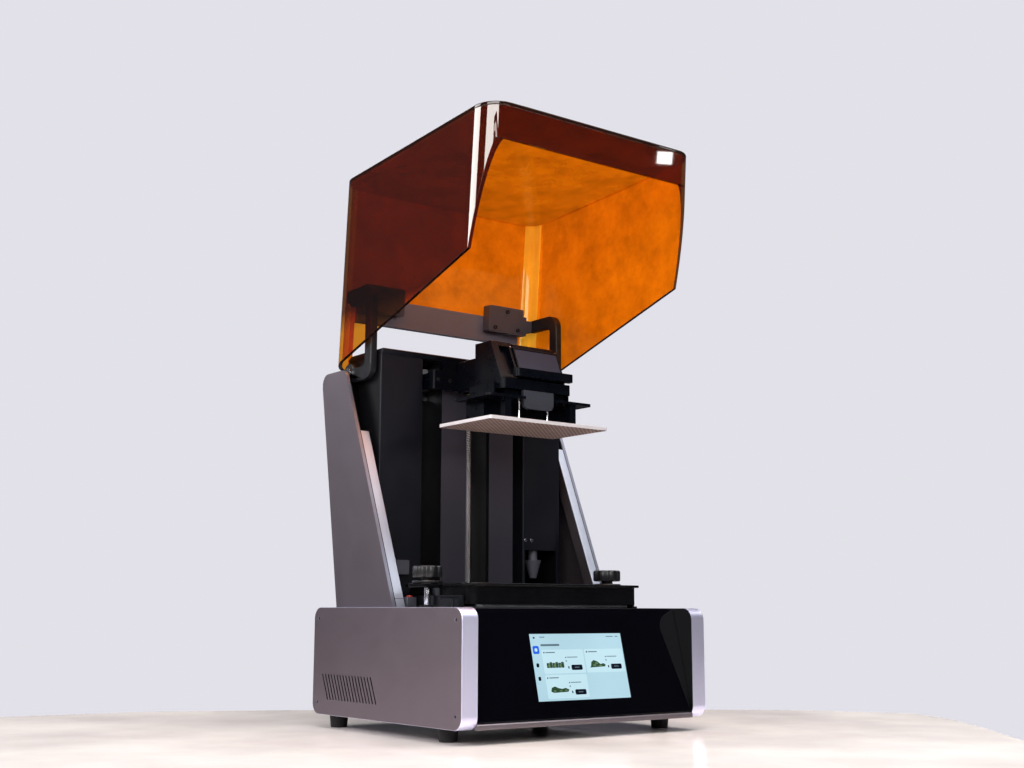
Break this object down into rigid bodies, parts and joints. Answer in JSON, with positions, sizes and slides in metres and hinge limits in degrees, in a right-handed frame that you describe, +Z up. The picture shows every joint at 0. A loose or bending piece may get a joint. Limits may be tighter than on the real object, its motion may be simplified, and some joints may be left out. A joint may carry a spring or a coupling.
{
  "type": "resin 3d printer",
  "caption": "Desktop resin printer with a tilting amber hood, side fins, screw-driven build platform, clamped resin vat and a front touchscreen.",
  "frame": {"origin": "on the floor under the middle of the whole object, at the level of the feet", "axes": "+Z up, -Y towards the front with the touchscreen, +X to the right seen from the front"},
  "size_m": [0.392, 0.3901, 0.7763],
  "materials": {
    "anodised_panel": "fine-blasted anodised, mauve grey",
    "bright_aluminium": "brushed, light silver",
    "gloss_black": "polished",
    "screen_glass": "lit display under cover glass",
    "black_screw": "black oxide",
    "black_metal": "powder coat",
    "black_steel": "satin black powder coat",
    "black_plastic": "fine texture",
    "foot_rubber": "matt",
    "exposure_glass": "optical glass and polariser",
    "lens_plastic": "clear moulded",
    "circuit_board": "solder mask",
    "plain_aluminium": "extruded",
    "galvanised_steel": "plated sheet",
    "vat_black": "black anodised",
    "vat_film": "stretched film",
    "steel_screw": "turned",
    "plain_steel": "ground",
    "tower_black": "satin blue black",
    "cover_grey": "satin dark grey",
    "grey_plastic": "satin",
    "amber_acrylic": "polished, see-through amber",
    "bar_grey": "satin brownish grey",
    "brass_nut": "turned",
    "head_black": "satin black",
    "plate_aluminium": "cross-hatched by laser, bright edges"
  },
  "bodies": {
    "frame": {"side_panels": "anodised_panel", "casing_screws": "black_screw", "front_panel": "gloss_black", "touchscreen": "screen_glass", "front_strip": "bright_aluminium", "base_tray": "black_metal", "bottom_cover": "black_plastic", "top_deck": "black_metal", "rear_panel": "black_metal", "feet": "foot_rubber", "exposure_screen": "exposure_glass", "uv_lens_array": "lens_plastic", "uv_led_board": "circuit_board", "heatsink": "plain_aluminium", "main_board": "circuit_board", "power_supply": "plain_aluminium", "fan_frame": "black_plastic", "power_inlet": "black_plastic", "usb_port": "galvanised_steel", "vat_rails": "plain_steel", "fin_shells": "anodised_panel", "fin_flanges": "bright_aluminium", "tower_front_panels": "tower_black", "tower_back_cover": "tower_black", "tower_cap": "tower_black", "rail_covers": "cover_grey", "z_beam": "plain_aluminium", "linear_rails": "plain_steel", "top_bearing": "black_metal", "z_motor": "black_metal", "feed_nozzle": "grey_plastic", "sensor_housings": "grey_plastic", "hinge_pins": "plain_steel"},
    "hood": {"hood_wall": "amber_acrylic", "hood_front_plate": "amber_acrylic", "hood_crossbar": "bar_grey", "hood_corner_blocks": "bar_grey", "hood_block_screws": "black_screw", "hood_arms": "black_steel"},
    "carriage": {"carriage_plate": "black_metal", "guide_blocks": "plain_steel", "leadscrew_nut": "brass_nut", "carriage_arm": "head_black", "head_block": "head_black", "lever_pin": "plain_steel"},
    "lock_lever": {"lock_lever": "head_black"},
    "platform": {"platform_bracket": "head_black", "lock_tab": "grey_plastic", "levelling_screws": "steel_screw", "build_plate": "plate_aluminium"},
    "leadscrew": {"leadscrew": "plain_steel", "shaft_coupling": "plain_aluminium"},
    "vat": {"vat_body": "vat_black", "vat_film": "vat_film", "vat_film_ring": "galvanised_steel", "vat_film_screws": "steel_screw"},
    "knob_left": {"vat_knob_left": "black_plastic"},
    "knob_right": {"vat_knob_right": "black_plastic"},
    "fan_rotor": {"fan_rotor": "black_plastic"},
    "power_rocker": {"power_rocker": "black_plastic"}
  },
  "joints": [
    {"name": "hood_hinge", "type": "hinge", "parent": "frame", "child": "hood", "pos_m": [0, 0.146, 0.479], "axis": [-1, 0, 0], "range_deg": [-86, 0]},
    {"name": "z_slide", "type": "slide", "parent": "frame", "child": "carriage", "axis": [0, 0, 1], "range_m": [-0.236, 0]},
    {"name": "leadscrew_spin", "type": "hinge", "parent": "frame", "child": "leadscrew", "pos_m": [0, 0.095, 0.3], "axis": [0, 0, 1], "range_deg": [-8500, 10]},
    {"name": "platform_slide", "type": "slide", "parent": "carriage", "child": "platform", "axis": [0, -1, 0], "range_m": [0, 0.06]},
    {"name": "lever_hinge", "type": "hinge", "parent": "carriage", "child": "lock_lever", "pos_m": [0, -0.035, 0.5055], "axis": [-1, 0, 0], "range_deg": [0, 60]},
    {"name": "vat_slide", "type": "slide", "parent": "frame", "child": "vat", "axis": [0, -1, 0], "range_m": [0, 0.1]},
    {"name": "knob_left_turn", "type": "hinge", "parent": "frame", "child": "knob_left", "pos_m": [-0.15, -0.032, 0.2], "axis": [0, 0, 1], "range_deg": [0, 720]},
    {"name": "knob_right_turn", "type": "hinge", "parent": "frame", "child": "knob_right", "pos_m": [0.15, -0.032, 0.2], "axis": [0, 0, 1], "range_deg": [0, 720]},
    {"name": "fan_spin", "type": "hinge", "parent": "frame", "child": "fan_rotor", "pos_m": [-0.095, 0.16, 0.092], "axis": [0, 1, 0], "continuous": true},
    {"name": "rocker_tilt", "type": "hinge", "parent": "frame", "child": "power_rocker", "pos_m": [0.088, 0.172, 0.05], "axis": [1, 0, 0], "range_deg": [0, 14]}
  ],
  "couplings": [
    {"joint": "leadscrew_spin", "follows": "z_slide", "rad_per_m": 628.32}
  ]
}
